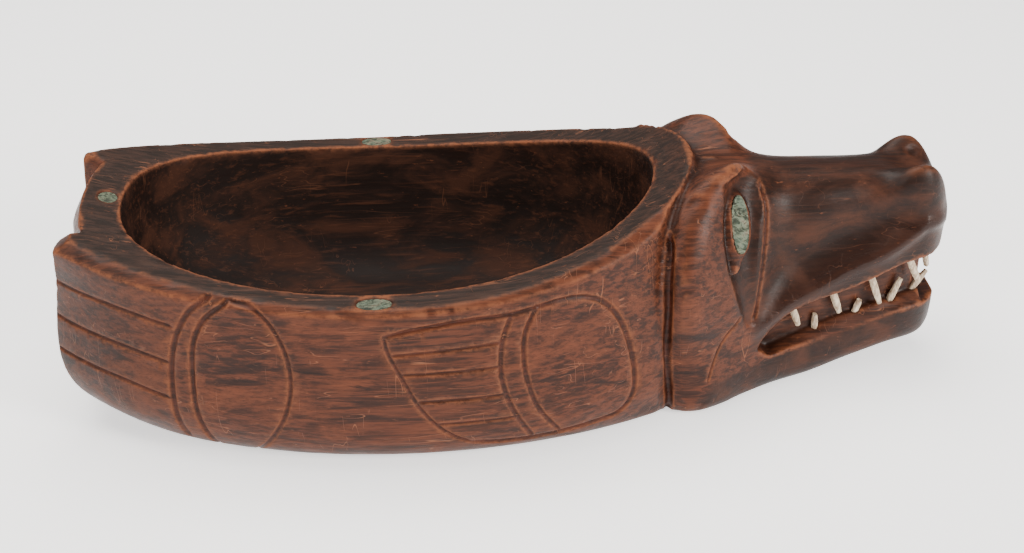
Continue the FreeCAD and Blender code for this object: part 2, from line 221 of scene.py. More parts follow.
def rim_height(x):
    """The height of the rim's top at a place along the bowl: lowest at the waist."""
    back = 87 + 0.00085 * (x - WAIST_X) ** 2
    front = 87 + 0.0010 * (x - WAIST_X) ** 2 + 2e-8 * (x - WAIST_X) ** 4
    return np.where(x < WAIST_X, back, np.minimum(front, 118.2))


def outside_hull(x, y):
    """The distance in plan from the hull's outline at the rim, positive outside it."""
    def share(a, b):
        back = (np.abs(a - MIDDLE_X) / TAIL_REACH) ** 2.1 + (np.abs(b) / HULL_HALF) ** 2.1
        front = (np.abs(a - MIDDLE_X) / NOSE_REACH) ** 1.9 + (np.abs(b) / HULL_HALF) ** 1.9
        return np.where(a < MIDDLE_X, back ** (1 / 2.1), front ** (1 / 1.9))
    here = share(x, y)
    slope_x = (share(x + 0.5, y) - share(x - 0.5, y))
    slope_y = (share(x, y + 0.5) - share(x, y - 0.5))
    return (here - 1) / np.maximum(np.hypot(slope_x, slope_y), 1e-6)


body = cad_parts["bowl_body"].copy()
body.data = body.data.copy()
body.data.materials.clear()
bpy.context.scene.collection.objects.link(body)
body.name = "carved_bowl"
weld(body)


def lump(place, half, turn, rings=24):
    """An ellipsoid of wood, millimetres, left standing where a raised part is carved."""
    bpy.ops.mesh.primitive_uv_sphere_add(segments=2 * rings, ring_count=rings, radius=1)
    piece = bpy.context.object
    piece.data.transform(Matrix.Diagonal(Vector(half) * MM).to_4x4())
    piece.data.transform(turn.to_4x4())
    piece.data.transform(Matrix.Translation(Vector(place) * MM))
    return piece


def join(pieces, into):
    """Makes the pieces part of another one."""
    bpy.ops.object.select_all(action="DESELECT")
    for piece in pieces:
        piece.select_set(True)
    into.select_set(True)
    bpy.context.view_layer.objects.active = into
    bpy.ops.object.join()


def skin_over(piece, grain):
    """Remeshes a body of joined lumps and draws the new skin back onto the surfaces it came from."""
    pattern = piece.copy()
    pattern.data = piece.data.copy()
    bpy.context.scene.collection.objects.link(pattern)
    rework(piece, grain)
    fit = piece.modifiers.new("fit", "SHRINKWRAP")
    fit.target = pattern
    fit.wrap_method = "NEAREST_SURFACEPOINT"
    take_up(piece)
    bpy.ops.object.modifier_apply(modifier="fit")
    bpy.data.meshes.remove(pattern.data)


# The prow: the rim runs on as a low pointed ridge into the valley between the ears.
# At its back and at its point: its place, its half width below, and its foot and top.

PROW = {-1: (79, 24, 96, 113.6), 1: (103, 3, 100, 113.0)}
PROW_TOP_SHARE = 0.12                         # of its width below

bpy.ops.mesh.primitive_cube_add(size=1)
prow = bpy.context.object
for corner in prow.data.vertices:
    side_x, side_y, up = (int(math.copysign(1, c)) for c in corner.co)
    x, half, foot, top = PROW[side_x]
    y = side_y * half
    if up > 0:
        corner.co = Vector((x, y * PROW_TOP_SHARE, top)) * MM
    else:
        corner.co = Vector((x, y, foot)) * MM

join([prow], body)

GRAIN = 1.2
skin_over(body, GRAIN)
points = corners_of(body)

# The eye sockets: a hollow on each side between the cheek's ridge and the back edge of the snout.
# At each height: the ridge's place, the snout edge's place, and the hollow's depth.

SOCKET = [
    (43.5, (112.0, 48.0), (114.0, 44.5), 0.4),
    (53.0, (108.4, 52.0), (116.9, 42.3), 2.0),
    (68.0, (103.8, 54.0), (118.3, 39.8), 4.6),
    (81.0, (99.8, 52.3), (119.4, 36.6), 6.4),
    (93.0, (97.6, 48.2), (120.6, 32.2), 7.0),
    (102.0, (97.8, 42.2), (121.3, 25.6), 6.0),
    (109.0, (99.5, 36.8), (119.3, 18.0), 3.4),
    (114.0, (101.2, 32.4), (116.0, 14.5), 1.0),
    (117.0, (102.2, 29.6), (112.5, 14.0), 0.1),
]
socket_heights = np.array([row[0] for row in SOCKET])
socket_values = np.array([(*row[1], *row[2], row[3]) for row in SOCKET])


def in_socket(points):
    """Inside the round blade that scoops out each eye socket, which lies along the height."""
    x, y, z = points[:, 0], np.abs(points[:, 1]), points[:, 2]
    rows = [np.interp(z, socket_heights, column) for column in socket_values.T]
    ridge_x, ridge_y, snout_x, snout_y, deep = rows
    along_x, along_y = snout_x - ridge_x, snout_y - ridge_y
    chord = np.hypot(along_x, along_y)
    radius = (chord ** 2 / 4 + deep ** 2) / (2 * deep)
    reach = (radius - deep) / chord
    centre_x = (ridge_x + snout_x) / 2 - along_y * reach
    centre_y = (ridge_y + snout_y) / 2 + along_x * reach
    near = (z > 43.5) & (z < 117) & (x > 90) & (x < 126) & (y > 5)
    return np.where(near, radius - np.hypot(x - centre_x, y - centre_y), -1)


points = pare(points, in_socket)

# The bevel round the rim's outer edge: broad at the haunches and the prow, narrow along the sides.
# At the tail it also runs across the end of each haunch; the far haunch is a little the longer.

BEVEL_AT = [-205, -175, -145, -115, -85, -25, 5, 35, 60, 72]
BEVEL_WIDTH = [4.8, 4.8, 4.4, 3.6, 2.7, 2.3, 2.8, 4.2, 6.5, 6.0]
BEVEL_SLOPE = 0.85
BEVEL_START_X, BEVEL_STOP_X = 66, 78          # it fades out between the two
HAUNCH_FROM_Y = 37.5
NEAR_HAUNCH_END, FAR_HAUNCH_END = -203.5, -207.5


def from_rim_edge(x, y):
    """How far a point lies beyond the edge where the rim's flat top ends, in plan."""
    beyond = outside_hull(x, y) + np.interp(x, BEVEL_AT, BEVEL_WIDTH)
    end_x = np.where(y < 0, NEAR_HAUNCH_END, FAR_HAUNCH_END)
    beyond_end = np.where(np.abs(y) > HAUNCH_FROM_Y, end_x - x, -50)
    return np.maximum(beyond, beyond_end)


def above_bevel(points):
    """Above the bevel's slope, which fades out at the prow."""
    x, y, z = points.T
    beyond = from_rim_edge(x, y)
    height = z - rim_height(x) + BEVEL_SLOPE * beyond
    fade = smooth(BEVEL_STOP_X, BEVEL_START_X, x)
    reach = (z > 76) & (x < BEVEL_STOP_X) & (beyond > 0)
    return np.where(reach, height - 6 * (1 - fade), -1)


points = pare(points, above_bevel)

# The tail's edge between the haunches, bowed in plan, and the shoulder that slants away below it.

TAIL_EDGE_X, TAIL_EDGE_Z = -203.2, 106.5
TAIL_EDGE_BOW = 6.7                           # over a half width of 43
TAIL_LEAN = 0.50


def behind_tail(points):
    """Outside the rounded shoulder that falls away from the rim's tail edge, between the haunches."""
    x, y, z = points.T
    edge = TAIL_EDGE_X + TAIL_EDGE_BOW * (y / 43) ** 2 - TAIL_LEAN * (TAIL_EDGE_Z - z)
    reach = (np.abs(y) < 38.5) & (z > 60) & (x < -190)
    return np.where(reach, edge - x, -1)


points = pare(points, behind_tail)
set_corners(body, points)

# The eyes: a thick lid stands out of each hollow, drawn to a point above and below.

EYE_CENTRE = (107.0, 39.0, 96.5)
eye_turns = {}
lids = []
for sign in (-1, 1):
    along = Vector((0, -0.6 * sign, 0.8))
    facing = Vector((0.49, 0.70 * sign, 0.53))
    facing = (facing - along * facing.dot(along)).normalized()
    across = facing.cross(along)
    eye_turns[sign] = Matrix((along, across, facing)).transposed()
    lids.append(lump((105.2, 36.5 * sign, 94.6), (17.0, 8.8, 5.6), eye_turns[sign]))
    lids.append(lump((104.2, 35.0 * sign, 93.0), (23.0, 5.4, 4.6), eye_turns[sign]))
join(lids, body)
skin_over(body, GRAIN)
ease(body, 2, 0.4)
points = corners_of(body)


def gauss(value, width):
    """1 at zero, falling off evenly to both sides."""
    return np.exp(-(value / width) ** 2)


def curve_through(knots, steps=8):
    """A smooth line through a few knots, as short straight runs."""
    knots = np.array(knots, dtype=float)
    if len(knots) < 3:
        return knots
    ends = np.vstack([2 * knots[0] - knots[1], knots, 2 * knots[-1] - knots[-2]])
    line = []
    for a, b, c, d in zip(ends, ends[1:], ends[2:], ends[3:]):
        for t in np.arange(steps) / steps:
            line.append(0.5 * (2 * b + (c - a) * t + (2 * a - 5 * b + 4 * c - d) * t * t
                               + (3 * b - a - 3 * c + d) * t ** 3))
    return np.array(line + [knots[-1]])


def line_distance(x, z, line):
    """Each point's distance from a line in the bowl's side view, and how far along the line it is."""
    best = np.full(len(x), 1e9)
    place = np.zeros(len(x))
    runs = np.hypot(*(line[1:] - line[:-1]).T)
    done = np.concatenate([[0], np.cumsum(runs)]) / runs.sum()
    for i in range(len(runs)):
        (ax, az), (bx, bz) = line[i], line[i + 1]
        t = np.clip(((x - ax) * (bx - ax) + (z - az) * (bz - az)) / runs[i] ** 2, 0, 1)
        gap = np.hypot(x - ax - t * (bx - ax), z - az - t * (bz - az))
        nearer = gap < best
        best[nearer] = gap[nearer]
        place[nearer] = (done[i] + t * (done[i + 1] - done[i]))[nearer]
    return best, place


# The lips, nose and neck: the upper lip is a round polished roll with a hollow above it, the nostrils
# are sunk from the inside, and a soft valley parts the neck from the cheeks.

NOSE_TIP_X = 217.5
LIP_ROLL = curve_through([(114, 37), (125, 43.5), (135, 50), (150, 57),
                          (165, 64.5), (180, 70), (190, 75), (203, 84)])
NECK_LINE = curve_through([(84, 112), (75, 107), (71.5, 94), (71, 70), (72, 42), (74.5, 12), (75, 0)])
normals = normals_of(body)
x, y, z = points.T
side = np.abs(normals[:, 1])
roll_z = np.interp(x, LIP_ROLL[:, 0], LIP_ROLL[:, 1])
snout = smooth(112, 126, x) * smooth(0.35, 0.7, np.maximum(side, normals[:, 0])) * (np.abs(y) > 6)
roll = 2.0 * gauss(z - roll_z, 4.5)
above_roll = 1.9 * gauss(z - roll_z - 15, 9.0) * smooth(205, 185, x)
push = snout * (roll - above_roll)
gap, _ = line_distance(x, z, NECK_LINE)
neck = smooth(0.3, 0.6, side) * (np.abs(y) > 20) * (z < 113)
push -= neck * 1.3 * np.maximum(1 - gap / 7.0, 0) ** 1.3
push = np.minimum(push, (NOSE_TIP_X - x) * 0.5)
points = points + normals * push[:, None]

NOSTRIL, NOSTRIL_RADIUS, NOSTRIL_STRETCH = (203.5, 7.0, 111.5), 5.2, 1.5


def in_nostril(points):
    """Inside the long round hollow of each nostril."""
    x, y, z = points[:, 0] - NOSTRIL[0], np.abs(points[:, 1]) - NOSTRIL[1], points[:, 2] - NOSTRIL[2]
    hollow = NOSTRIL_RADIUS - np.sqrt((x / NOSTRIL_STRETCH) ** 2 + y ** 2 + z ** 2)
    return np.where(points[:, 2] > 100, hollow, -1)


points = pare(points, in_nostril)
set_corners(body, points)
ease(body, 1, 0.4)

# Relief lines on both flanks: a haunch with a joint and an oval at the tail, and a wing or fin with
# its long feathers, joint and oval behind the head; then one line each for the cheek, the snout's
# back edge and the neck. Each is knot points, a width and a depth.

RELIEF = [
    ([(-217, 81.5), (-186, 78.8), (-157, 73.5)], 2.6, 1.0),
    ([(-218, 61.6), (-186, 59), (-160, 54)], 2.6, 1.0),
    ([(-218, 44), (-188, 41), (-162, 35)], 2.6, 1.0),
    ([(-137, 92), (-147, 84.5), (-154.5, 72), (-158.8, 57), (-160.3, 40), (-159.6, 24),
      (-155.5, 8)], 3.4, 1.3),
    ([(-130, 90), (-141.5, 80), (-148, 66.5), (-150, 50), (-150, 31), (-147, 17), (-142, 3)], 3.2, 1.3),
    ([(-130, 90), (-119, 87), (-111.5, 78), (-106.2, 64), (-104.9, 48.5), (-108, 33), (-114.5, 19),
      (-125, 2)], 2.8, 1.1),
    ([(-62, 74.2), (-46, 77.3), (-25, 80), (-6, 80.6), (7, 82.2), (18, 83.6), (29, 82.5), (39.5, 76.5),
      (47.8, 64.5), (53.3, 47), (55.4, 31), (53.5, 20.5), (47, 13.4), (33, 11.3), (16, 10), (-8, 10.4),
      (-23.6, 12.9)], 3.2, 1.2),
    ([(-62, 74.2), (-60, 64.5), (-54, 51), (-47, 36), (-39, 25), (-31, 17.4), (-23.6, 12.9)], 2.6, 1.0),
    ([(-59, 64), (-8.5, 66.8)], 2.2, 0.8),
    ([(-55.5, 53.7), (-9.3, 54.3)], 2.2, 0.8),
    ([(-48, 38.8), (-7, 39.2)], 2.2, 0.8),
    ([(-39.5, 25.6), (-2.5, 25.5)], 2.2, 0.8),
    ([(-4.5, 80), (-8.5, 67), (-9.2, 51.5), (-7, 39.5), (-2.4, 27), (6, 11)], 3.2, 1.2),
    ([(7, 82), (2, 70), (1.4, 56), (3.5, 43), (8.6, 28), (19, 11.5)], 3.0, 1.2),
]
CHEEK_LINE = ([(109, 52), (101, 42), (96, 31), (93, 20)], 1.8, 0.7)
NECK_CUT = ([(72, 98), (71.2, 84), (71, 70), (72, 42), (74.5, 12), (75, 0)], 4.2, 2.2)
SNOUT_LINE = ([(119.5, 108), (122, 98), (121.6, 84), (120.2, 68), (118.6, 54), (116.5, 45)], 2.4, 1.1)
relief_lines = []
for knots, width, depth in [*RELIEF, CHEEK_LINE, SNOUT_LINE, NECK_CUT]:
    relief_lines.append((curve_through(knots), width, depth))


def nearest_relief(points):
    """For each point, its distance from the nearest relief line, and that line's width and depth there."""
    x, z = points[:, 0], points[:, 2]
    best = np.full(len(points), 1e9)
    wide, deep = np.ones(len(points)), np.zeros(len(points))
    for line, width, depth in relief_lines:
        low, high = line.min(axis=0) - 4, line.max(axis=0) + 4
        near = np.flatnonzero((x > low[0]) & (x < high[0]) & (z > low[1]) & (z < high[1]))
        gap, place = line_distance(x[near], z[near], line)
        ends = smooth(0, 0.06, np.minimum(place, 1 - place) + 0.02)
        share = gap / (width * (0.55 + 0.45 * ends))
        nearer = share < best[near] / wide[near]
        hit = near[nearer]
        best[hit] = gap[nearer]
        wide[hit] = (gap / np.maximum(share, 1e-9))[nearer]
        deep[hit] = depth * ends[nearer]
    return best, wide, deep


def on_flank(points, normals):
    """1 on the outer walls and the sides of the head, 0 in the basin, underneath and on the rim."""
    x, y, z = points.T
    outward = normals[:, 1] * np.sign(y)
    wall = outside_hull(x, y) > -12
    head = (x >= 66) & (x < np.where(z > 46, 126, 116)) & (z < 110)
    return smooth(0.15, 0.35, outward) * ((wall & (x < 66) & (z < rim_height(x) - 1.0)) | head)


# The skin is made twice as fine where lines will be cut and round the eyes.

LINE_REACH, EYE_REACH = 2.6, 19
points, normals = corners_of(body), normals_of(body)
gap, _, _ = nearest_relief(points)
flank = on_flank(points, normals)
x, y, z = points.T
mirrored = np.stack([x, np.abs(y), z], axis=1)
eye_gap = np.linalg.norm(mirrored - np.array(EYE_CENTRE), axis=1)
fine = ((gap < LINE_REACH) & (flank > 0)) | (eye_gap < EYE_REACH)
take_up(body)
loops = np.empty(len(body.data.loops), dtype=np.int64)
body.data.loops.foreach_get("vertex_index", loops)
starts = np.empty(len(body.data.polygons), dtype=np.int64)
body.data.polygons.foreach_get("loop_start", starts)
chosen = np.add.reduceat(fine[loops].astype(int), starts) > 0
bpy.ops.object.mode_set(mode="EDIT")
bpy.ops.mesh.select_mode(type="FACE")
bpy.ops.mesh.select_all(action="DESELECT")
bpy.ops.object.mode_set(mode="OBJECT")
body.data.polygons.foreach_set("select", chosen)
bpy.ops.object.mode_set(mode="EDIT")
bpy.ops.mesh.subdivide(number_cuts=1)
bpy.ops.object.mode_set(mode="OBJECT")

points, normals, edges = corners_of(body), normals_of(body), edges_of(body)


def waves(points, size, seed):
    """Soft random swells from -1 to 1, of a given size in millimetres, the same at every run."""
    chance = np.random.default_rng(seed).uniform(-1, 1, (64, 64, 64))
    cell = points / size
    base = np.floor(cell).astype(int)
    t = cell - base
    t = t * t * (3 - 2 * t)
    total = np.zeros(len(points))
    for corner in range(8):
        step = np.array([corner & 1, corner >> 1 & 1, corner >> 2])
        weight = np.prod(np.where(step, t, 1 - t), axis=1)
        i, j, k = ((base + step) % 64).T
        total += weight * chance[i, j, k]
    return total


# Knife work: faint flats and swells all over, and small chips along the edges behind the snout.

SNOUT_X = 116
plain = neighbour_mean(points, edges, 12)
raised = ((points - plain) * normals).sum(axis=1)
swell = 0.35 * waves(points * [0.5, 1, 1], 16, 3) + 0.12 * waves(points, 5, 4)
swell *= smooth(0.35, 0.1, raised)
chips = smooth(0.30, 0.75, waves(points, 4.5, 5)) * smooth(0.14, 0.4, raised) * (points[:, 0] < SNOUT_X)
ground = smooth(0.5, 3.0, points[:, 2])
points = points + normals * ((swell * 0.6 - chips * 0.40) * ground)[:, None]

gap, wide, deep = nearest_relief(points)
flank = on_flank(points, normals)
cut = flank * np.clip(1 - gap / (wide / 2), 0, 1) ** 0.75
points = points - normals * (cut * deep)[:, None]


def eye_place(points, sign):
    """Places in the eye's own frame: along it, across it and out of it."""
    centre = np.array([EYE_CENTRE[0], EYE_CENTRE[1] * sign, EYE_CENTRE[2]])
    return (points - centre) @ np.array(eye_turns[sign])


SEAT_HALF, SEAT_DEPTH = (14.3, 5.5), 0.9


def above_seat(points, sign):
    """Above the flat seat that the eye's shell is let into."""
    along, across, out = eye_place(points, sign).T
    oval = np.hypot(along / SEAT_HALF[0], across / SEAT_HALF[1])
    return np.where((oval < 1) & (out > -1) & (out < 6), out + SEAT_DEPTH, -1)


for sign in (-1, 1):
    points = pare(points, lambda there: above_seat(there, sign), 1)

low, high = (np.array(corner) / MM for corner in cad_box)
points = np.clip(points, low, high)
set_corners(body, points)

# What the finish follows: zones of the surface, where it is worn, where lines are cut, and painted shade.
# The zones are bounded by the basin's outline in plan, and by the lips and the jaw in side view.

BASIN_X, BASIN_HALF = -58, (128, 74.5)
LOWER_LIP_X, LOWER_LIP_Z = [120, 142, 168, 194, 211, 226], [18, 23, 28, 34, 36.5, 37]
UPPER_LIP_X, UPPER_LIP_Z = [120, 124, 138, 158, 179, 198, 211, 226], [27, 34, 45.5, 51, 57, 63.5, 65, 70]
LIP_HALF_X, LIP_HALF_Y = [105, 125, 150, 175, 200, 212, 217], [44, 40, 33, 28, 24, 16, 8]
JAW_BACK_Z, JAW_BACK_X = [0, 20, 34, 52], [88, 95, 106, 116]

normals = normals_of(body)
x, y, z = points.T
plain = neighbour_mean(points, edges, 5)
raised = neighbour_mean(((points - plain) * normals).sum(axis=1), edges, 1)
broad = neighbour_mean(points, edges, 16)
sunk = neighbour_mean(((broad - points) * normals).sum(axis=1), edges, 2)
roll_z = np.interp(x, LIP_ROLL[:, 0], LIP_ROLL[:, 1])
polished = gauss(z - roll_z, 7.5) * smooth(112, 120, x)
worn = smooth(0.12, 0.36, raised) * (1 - np.clip(cut * 2, 0, 1)) * (1 - polished)
worn *= 1 - 0.6 * smooth(118, 124, x) * smooth(60, 75, z)
# Painted shade: the wood is darkened where the surface lies sunk below its surroundings.
hollow = smooth(0.08, 0.6, sunk)
line_edge = flank * gauss(gap - wide / 2, 0.45) * (deep > 0.2)
power = np.where(x > BASIN_X, 2.05, 2.4)
basin_reach = (np.abs(x - BASIN_X) / BASIN_HALF[0]) ** power + (np.abs(y) / BASIN_HALF[1]) ** power
inside = smooth(1.04, 1.0, basin_reach) * smooth(12.5, 13.5, z) * smooth(0.2, -0.8, z - rim_height(x))
rim = smooth(0.75, 0.93, normals[:, 2]) * smooth(-2.0, -1.0, z - rim_height(x))
rim *= smooth(0.6, -0.4, from_rim_edge(x, y)) * (1 - inside) * (x < 100)
lower_lip = np.interp(x, LOWER_LIP_X, LOWER_LIP_Z)
upper_lip = np.interp(x, UPPER_LIP_X, UPPER_LIP_Z)
between = (z > lower_lip - 1) & (z < upper_lip + 1)
mouth = between * smooth(-0.6, -2.5, np.abs(y) - np.interp(x, LIP_HALF_X, LIP_HALF_Y)) * (x > 118)
jaw = smooth(-3, 4, x - np.interp(z, JAW_BACK_Z, JAW_BACK_X)) * smooth(1, -1, z - lower_lip)
snout = smooth(SNOUT_X, 121, x) * (z > upper_lip - 1)
# Painted shade in the hollows of the eye sockets.
socket_shade = smooth(2.2, 0.4, np.abs(in_socket(points)))
socket_shade *= (x > 98) * (np.abs(y) > 12) * (z < 112) * (z > 46)
# Painted shade on the flanks of the haunches, towards the tail.
haunch_shade = smooth(-150, -190, x) * flank
# The jaw and the snout are darker wood; the sockets and the haunches add painted shade.
dark_wood_and_shade = np.clip(jaw + snout * 0.85 + socket_shade * 0.8 + haunch_shade * 0.35, 0, 1) * (1 - mouth)


def paint_on(piece, name, red, green, blue):
    """Stores three numbers at each corner, for the finish to read."""
    layer = piece.data.attributes.new(name, "FLOAT_COLOR", "POINT")
    colours = np.stack([red, green, blue, np.ones(len(red))], axis=1)
    layer.data.foreach_set("color", colours.astype(np.float32).ravel())


paint_on(body, "zones", rim, inside, dark_wood_and_shade)
# The wear layer also carries the painted shade of the hollows.
paint_on(body, "wear_and_shade", np.clip(worn + 0.7 * line_edge, 0, 1), hollow, np.clip(cut, 0, 1))
paint_on(body, "flesh", mouth, polished, np.zeros(len(x)))

MOST_TRIANGLES = 190000
body.data.calc_loop_triangles()
thin = body.modifiers.new("thin", "DECIMATE")
thin.ratio = MOST_TRIANGLES / len(body.data.loop_triangles)
take_up(body)
bpy.ops.object.modifier_apply(modifier="thin")
bpy.ops.object.shade_smooth()


def tone(red, green, blue):
    """A colour given as on a paint card, 0 to 255, as the light that it reflects."""
    shares = np.array([red, green, blue]) / 255
    linear = np.where(shares <= 0.04045, shares / 12.92, ((shares + 0.055) / 1.055) ** 2.4)
    return (*[float(share) for share in linear], 1.0)


def finish_named(name):
    """A new finish: its node tree and its shader."""
    finish = bpy.data.materials.new(name)
    finish.use_nodes = True
    return finish, finish.node_tree, finish.node_tree.nodes["Principled BSDF"]


def wire(tree, value, socket):
    """Feeds a socket with another socket's output or with a plain value."""
    if isinstance(value, bpy.types.NodeSocket):
        tree.links.new(value, socket)
    elif value is not None:
        socket.default_value = value


def pattern(tree, stretch, detail=4.0, rough=0.55, twist=0.0, turn=(0, 0, 0)):
    """A cloudy pattern; stretch is how many patches there are to a metre along X, Y and Z."""
    place = tree.nodes.new("ShaderNodeTexCoord")
    mapping = tree.nodes.new("ShaderNodeMapping")
    mapping.inputs["Scale"].default_value = stretch
    mapping.inputs["Rotation"].default_value = [math.radians(angle) for angle in turn]
    cloud = tree.nodes.new("ShaderNodeTexNoise")
    cloud.inputs["Scale"].default_value = 1
    cloud.inputs["Detail"].default_value = detail
    cloud.inputs["Roughness"].default_value = rough
    cloud.inputs["Distortion"].default_value = twist
    tree.links.new(place.outputs["Object"], mapping.inputs["Vector"])
    tree.links.new(mapping.outputs["Vector"], cloud.inputs["Vector"])
    return cloud.outputs["Fac"]


def ramp(tree, value, low, high, start=0.0, end=1.0):
    """A smooth step from start to end as value goes from low to high."""
    step = tree.nodes.new("ShaderNodeMapRange")
    step.interpolation_type = "SMOOTHSTEP"
    wire(tree, value, step.inputs["Value"])
    for name, number in zip(("From Min", "From Max", "To Min", "To Max"), (low, high, start, end)):
        step.inputs[name].default_value = number
    return step.outputs["Result"]


def maths(tree, operation, first, second=None):
    """One step of arithmetic on sockets or numbers."""
    step = tree.nodes.new("ShaderNodeMath")
    step.operation = operation
    wire(tree, first, step.inputs[0])
    wire(tree, second, step.inputs[1])
    return step.outputs["Value"]


def blend(tree, share, first, second, way="MIX"):
    """Lays the second colour over the first by a share."""
    mix = tree.nodes.new("ShaderNodeMix")
    mix.data_type = "RGBA"
    mix.blend_type = way
    wire(tree, share, mix.inputs["Factor"])
    wire(tree, first, mix.inputs[6])
    wire(tree, second, mix.inputs[7])
    return mix.outputs[2]


def painted(tree, name):
    """The three numbers stored at each corner under a name."""
    layer = tree.nodes.new("ShaderNodeAttribute")
    layer.attribute_name = name
    parts = tree.nodes.new("ShaderNodeSeparateColor")
    tree.links.new(layer.outputs["Color"], parts.inputs["Color"])
    return parts.outputs


def lines_in(tree, value, width):
    """Thin lines where a cloudy pattern passes its middle."""
    gap = maths(tree, "ABSOLUTE", maths(tree, "SUBTRACT", value, 0.5))
    return ramp(tree, gap, width, 0.0)


def bump(tree, height, strength, depth, over=None):
    """Fine relief from a pattern, depth in metres, laid over another relief if there is one."""
    relief = tree.nodes.new("ShaderNodeBump")
    relief.inputs["Strength"].default_value = strength
    relief.inputs["Distance"].default_value = depth
    tree.links.new(height, relief.inputs["Height"])
    if over is not None:
        tree.links.new(over, relief.inputs["Normal"])
    return relief.outputs["Normal"]


# The wood: grain along the bowl, dark smudges of old soot and oil, worn orange edges, scratches and
# painted shade.

wood, tree, shader = finish_named("oiled_alder")
rim_share, inside_share, dark_wood_and_shade_share = painted(tree, "zones")[:3]
worn_share, hollow_shade_share, cut_share = painted(tree, "wear_and_shade")[:3]
mouth_share, polished_share = painted(tree, "flesh")[:2]
grain = pattern(tree, (22, 420, 420), 6, 0.6, 0.4)
fibre = pattern(tree, (90, 1700, 1700), 3, 0.6)
mottle = pattern(tree, (26, 60, 60), 5, 0.62, 0.6)
soot = pattern(tree, (20, 40, 95), 6, 0.66, 1.2)
patches = pattern(tree, (9, 12, 14), 3, 0.5)
flecks = pattern(tree, (150, 520, 520), 4, 0.7)
break_up = pattern(tree, (240, 300, 300), 5, 0.7)

colour = blend(tree, ramp(tree, grain, 0.38, 0.62), tone(44, 22, 13), tone(82, 42, 25))
warm = maths(tree, "MULTIPLY", ramp(tree, mottle, 0.47, 0.68), 0.6)
colour = blend(tree, warm, colour, tone(100, 54, 34))
pores = maths(tree, "MULTIPLY", ramp(tree, fibre, 0.50, 0.68), 0.5)
colour = blend(tree, pores, colour, tone(32, 15, 9))
smudge = maths(tree, "MULTIPLY", ramp(tree, soot, 0.52, 0.66), ramp(tree, patches, 0.38, 0.58))
colour = blend(tree, maths(tree, "MULTIPLY", smudge, 0.86), colour, tone(27, 14, 9))
rim_colour = blend(tree, ramp(tree, grain, 0.38, 0.66), tone(29, 19, 14), tone(52, 34, 26))
colour = blend(tree, rim_share, colour, rim_colour)
bowl_colour = blend(tree, ramp(tree, mottle, 0.42, 0.68), tone(25, 14, 10), tone(58, 33, 22))
streak = maths(tree, "MULTIPLY", ramp(tree, grain, 0.52, 0.70), 0.5)
bowl_colour = blend(tree, streak, bowl_colour, tone(80, 46, 30))
colour = blend(tree, inside_share, colour, bowl_colour)
# The darker wood of the jaw and snout, also used for the painted shade in the sockets and on the haunches.
dark_wood_and_shade_colour = blend(tree, ramp(tree, mottle, 0.42, 0.66), tone(24, 14, 10), tone(58, 33, 22))
colour = blend(tree, maths(tree, "MULTIPLY", dark_wood_and_shade_share, 0.86), colour, dark_wood_and_shade_colour)
mouth_colour = blend(tree, ramp(tree, grain, 0.35, 0.65), tone(46, 25, 17), tone(78, 43, 28))
colour = blend(tree, mouth_share, colour, mouth_colour)
colour = blend(tree, maths(tree, "MULTIPLY", polished_share, 0.8), colour, tone(40, 24, 19))
# Painted shade, darkest in the hollows.
colour = blend(tree, maths(tree, "MULTIPLY", hollow_shade_share, 0.68), colour, tone(23, 11, 7))
cut_colour = blend(tree, ramp(tree, grain, 0.4, 0.6), tone(42, 18, 10), tone(66, 30, 18))
colour = blend(tree, maths(tree, "MULTIPLY", cut_share, 0.85), colour, cut_colour)
edge = maths(tree, "MULTIPLY", worn_share, ramp(tree, break_up, 0.34, 0.58, 0.15, 1.0))
edge = maths(tree, "MULTIPLY", edge, ramp(tree, inside_share, 0.9, 0.2, 0.5, 1.0))
colour = blend(tree, maths(tree, "MULTIPLY", edge, 0.9), colour, tone(122, 72, 46))
along_grain = lines_in(tree, pattern(tree, (9, 210, 210), 1, 0.5, 0, (0, 20, 0)), 0.012)
along_share = ramp(tree, pattern(tree, (36, 90, 90), 3), 0.52, 0.60)
across_grain = lines_in(tree, pattern(tree, (170, 170, 10), 1, 0.5, 0, (0, 33, 0)), 0.010)
across_share = ramp(tree, pattern(tree, (60, 60, 44), 3), 0.55, 0.62)
marks = maths(tree, "MAXIMUM", maths(tree, "MULTIPLY", along_grain, along_share),
              maths(tree, "MULTIPLY", across_grain, across_share))
marks = maths(tree, "MULTIPLY", marks, ramp(tree, inside_share, 0.0, 0.9, 1.0, 0.35))
marks = maths(tree, "MULTIPLY", marks, ramp(tree, dark_wood_and_shade_share, 0.1, 0.6, 1.0, 0.3))
colour = blend(tree, maths(tree, "MULTIPLY", marks, 0.6), colour, tone(132, 82, 56))
fleck_share = maths(tree, "MULTIPLY", ramp(tree, flecks, 0.62, 0.74), 0.55)
colour = blend(tree, fleck_share, colour, tone(112, 64, 41))
tree.links.new(colour, shader.inputs["Base Color"])
sheen = ramp(tree, mottle, 0.3, 0.7, 0.36, 0.52)
sheen = maths(tree, "ADD", sheen, maths(tree, "MULTIPLY", edge, 0.24))
sheen = maths(tree, "ADD", sheen, maths(tree, "MULTIPLY", rim_share, 0.10))
sheen = maths(tree, "ADD", sheen, maths(tree, "MULTIPLY", inside_share, 0.24))
sheen = maths(tree, "SUBTRACT", sheen, maths(tree, "MULTIPLY", polished_share, 0.2))
tree.links.new(sheen, shader.inputs["Roughness"])
shader.inputs["Specular IOR Level"].default_value = 0.17
relief = bump(tree, grain, 0.35, 0.0005)
relief = bump(tree, fibre, 0.30, 0.0002, relief)
relief = bump(tree, mottle, 0.30, 0.0010, relief)
relief = bump(tree, maths(tree, "SUBTRACT", 1.0, marks), 0.5, 0.0002, relief)
tree.links.new(relief, shader.inputs["Normal"])
body.data.materials.append(wood)
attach(body, "root")
